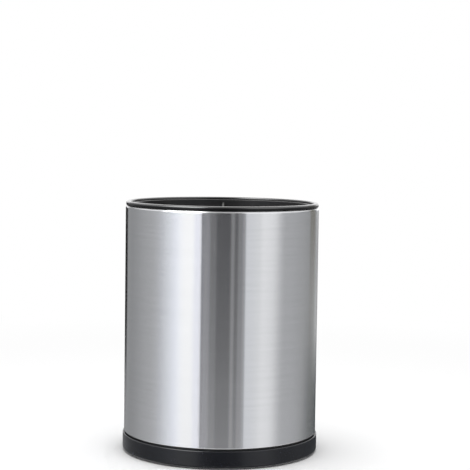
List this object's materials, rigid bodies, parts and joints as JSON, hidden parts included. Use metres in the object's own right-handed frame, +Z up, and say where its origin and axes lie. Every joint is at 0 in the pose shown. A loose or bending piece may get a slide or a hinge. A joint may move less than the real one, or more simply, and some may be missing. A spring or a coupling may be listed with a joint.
{
  "type": "utensil holder",
  "caption": "Round countertop utensil holder: brushed steel canister with a black rim and lift-out divider, turning on a weighted black base.",
  "frame": {"origin": "middle of the underside, on the surface that the anti-slip ring stands on", "axes": "+Z up along the axis that the canister turns about; -Y towards the viewer of the picture, +X to the viewer's right"},
  "size_m": [0.154, 0.154, 0.1965],
  "materials": {
    "sleeve_steel": "brushed round the sleeve, satin",
    "gloss_black": "moulded, semi-gloss",
    "satin_black": "moulded, satin",
    "black_rubber": "matt rubber",
    "plated_steel": "zinc plated",
    "ball_steel": "polished",
    "nylon": "natural nylon"
  },
  "bodies": {
    "base": {"anti_slip_ring": "black_rubber", "base_plate": "satin_black", "ballast_ring": "plated_steel", "base_shell": "gloss_black", "base_plate_screw_1": "plated_steel", "base_plate_screw_2": "plated_steel", "base_plate_screw_3": "plated_steel", "base_plate_screw_4": "plated_steel", "lower_race": "plated_steel", "lower_race_screw_1": "plated_steel", "lower_race_screw_2": "plated_steel", "lower_race_screw_3": "plated_steel", "pivot_bolt": "plated_steel", "pivot_lock_nut": "plated_steel", "pivot_nut_washer": "plated_steel"},
    "cage": {"ball_cage": "nylon", "bearing_ball_01": "ball_steel", "bearing_ball_02": "ball_steel", "bearing_ball_03": "ball_steel", "bearing_ball_04": "ball_steel", "bearing_ball_05": "ball_steel", "bearing_ball_06": "ball_steel", "bearing_ball_07": "ball_steel", "bearing_ball_08": "ball_steel", "bearing_ball_09": "ball_steel", "bearing_ball_10": "ball_steel", "bearing_ball_11": "ball_steel", "bearing_ball_12": "ball_steel"},
    "canister": {"floor_pan": "satin_black", "steel_sleeve": "sleeve_steel", "rim_ring": "gloss_black", "grip_mat": "black_rubber", "upper_race": "plated_steel", "upper_race_screw_1": "plated_steel", "upper_race_screw_2": "plated_steel", "upper_race_screw_3": "plated_steel", "thrust_washer": "plated_steel", "pivot_bush": "nylon"},
    "divider": {"divider_insert": "satin_black"}
  },
  "joints": [
    {"name": "canister_spin", "type": "hinge", "parent": "base", "child": "canister", "pos_m": [0, 0, 0.0153], "axis": [0, 0, 1], "continuous": true},
    {"name": "cage_spin", "type": "hinge", "parent": "base", "child": "cage", "pos_m": [0, 0, 0.0153], "axis": [0, 0, 1], "continuous": true},
    {"name": "divider_lift", "type": "slide", "parent": "canister", "child": "divider", "axis": [0, 0, 1], "range_m": [0, 0.175]}
  ],
  "couplings": [
    {"joint": "cage_spin", "follows": "canister_spin", "ratio": 0.5}
  ]
}
